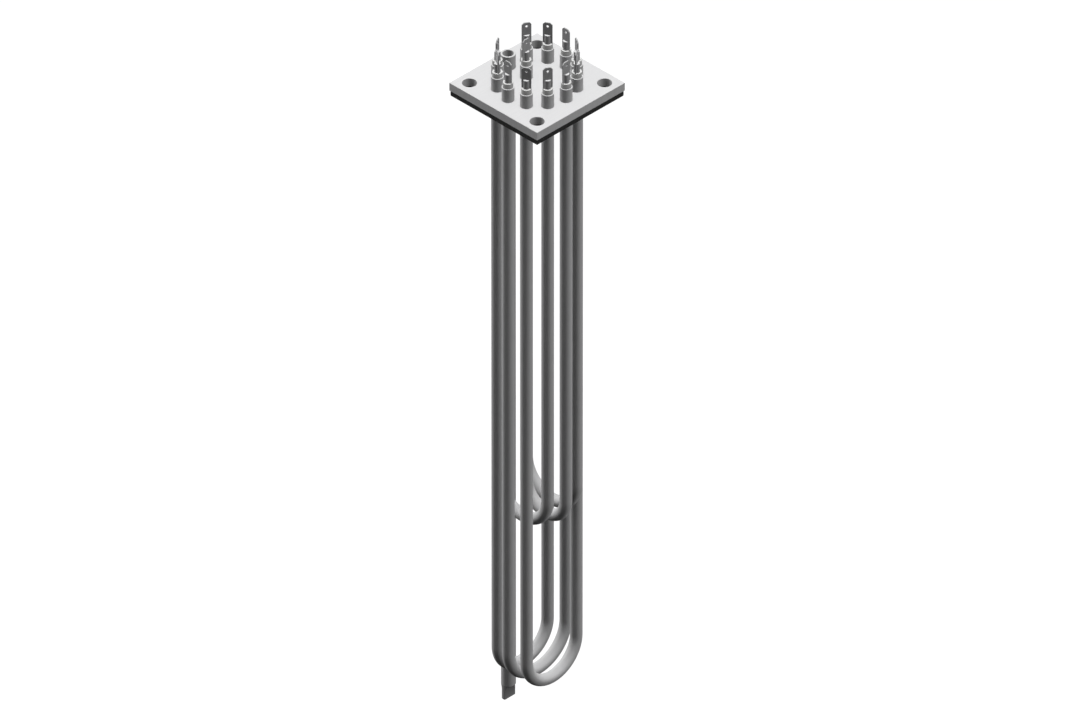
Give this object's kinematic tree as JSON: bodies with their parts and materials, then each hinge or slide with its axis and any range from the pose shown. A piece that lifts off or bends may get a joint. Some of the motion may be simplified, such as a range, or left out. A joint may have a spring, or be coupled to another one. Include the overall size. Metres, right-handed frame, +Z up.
{
  "type": "heating element",
  "caption": "Flanged immersion heater: steel hairpin tube heaters and a sensor pocket in a square bolted flange with a rubber gasket, with blade terminals on top.",
  "frame": {"origin": "centre of the gasket's lower face, which seats on the tank wall", "axes": "+Z up through the flange to the terminals, the tubes hang along -Z; the long hairpins lie parallel to X, the short ones parallel to Y, and the sensor pocket is on +Y"},
  "size_m": [0.078, 0.078, 0.5168],
  "materials": {
    "flange_steel": "satin, ground",
    "gasket_rubber": "matt black",
    "braze_metal": "dull silver braze",
    "pocket_steel": "drawn tube",
    "sheath_steel": "annealed tube",
    "magnesia": "pressed powder",
    "winding_wire": "drawn wire",
    "bead_ceramic": "unglazed",
    "pin_steel": "turned",
    "tab_steel": "punched strip"
  },
  "bodies": {
    "root": {"flange": "flange_steel", "gasket": "gasket_rubber", "brazed_joints": "braze_metal", "sensor_pocket": "pocket_steel", "long_back_sheath": "sheath_steel", "long_back_fill": "magnesia", "long_back_winding": "winding_wire", "long_back_bead_left": "bead_ceramic", "long_back_pin_left": "pin_steel", "long_back_tab_left": "tab_steel", "long_back_bead_right": "bead_ceramic", "long_back_pin_right": "pin_steel", "long_back_tab_right": "tab_steel", "long_middle_sheath": "sheath_steel", "long_middle_fill": "magnesia", "long_middle_winding": "winding_wire", "long_middle_bead_left": "bead_ceramic", "long_middle_pin_left": "pin_steel", "long_middle_tab_left": "tab_steel", "long_middle_bead_right": "bead_ceramic", "long_middle_pin_right": "pin_steel", "long_middle_tab_right": "tab_steel", "long_front_sheath": "sheath_steel", "long_front_fill": "magnesia", "long_front_winding": "winding_wire", "long_front_bead_left": "bead_ceramic", "long_front_pin_left": "pin_steel", "long_front_tab_left": "tab_steel", "long_front_bead_right": "bead_ceramic", "long_front_pin_right": "pin_steel", "long_front_tab_right": "tab_steel", "short_left_sheath": "sheath_steel", "short_left_fill": "magnesia", "short_left_winding": "winding_wire", "short_left_bead_back": "bead_ceramic", "short_left_pin_back": "pin_steel", "short_left_tab_back": "tab_steel", "short_left_bead_front": "bead_ceramic", "short_left_pin_front": "pin_steel", "short_left_tab_front": "tab_steel", "short_middle_sheath": "sheath_steel", "short_middle_fill": "magnesia", "short_middle_winding": "winding_wire", "short_middle_bead_back": "bead_ceramic", "short_middle_pin_back": "pin_steel", "short_middle_tab_back": "tab_steel", "short_middle_bead_front": "bead_ceramic", "short_middle_pin_front": "pin_steel", "short_middle_tab_front": "tab_steel", "short_right_sheath": "sheath_steel", "short_right_fill": "magnesia", "short_right_winding": "winding_wire", "short_right_bead_back": "bead_ceramic", "short_right_pin_back": "pin_steel", "short_right_tab_back": "tab_steel", "short_right_bead_front": "bead_ceramic", "short_right_pin_front": "pin_steel", "short_right_tab_front": "tab_steel"}
  },
  "joints": []
}
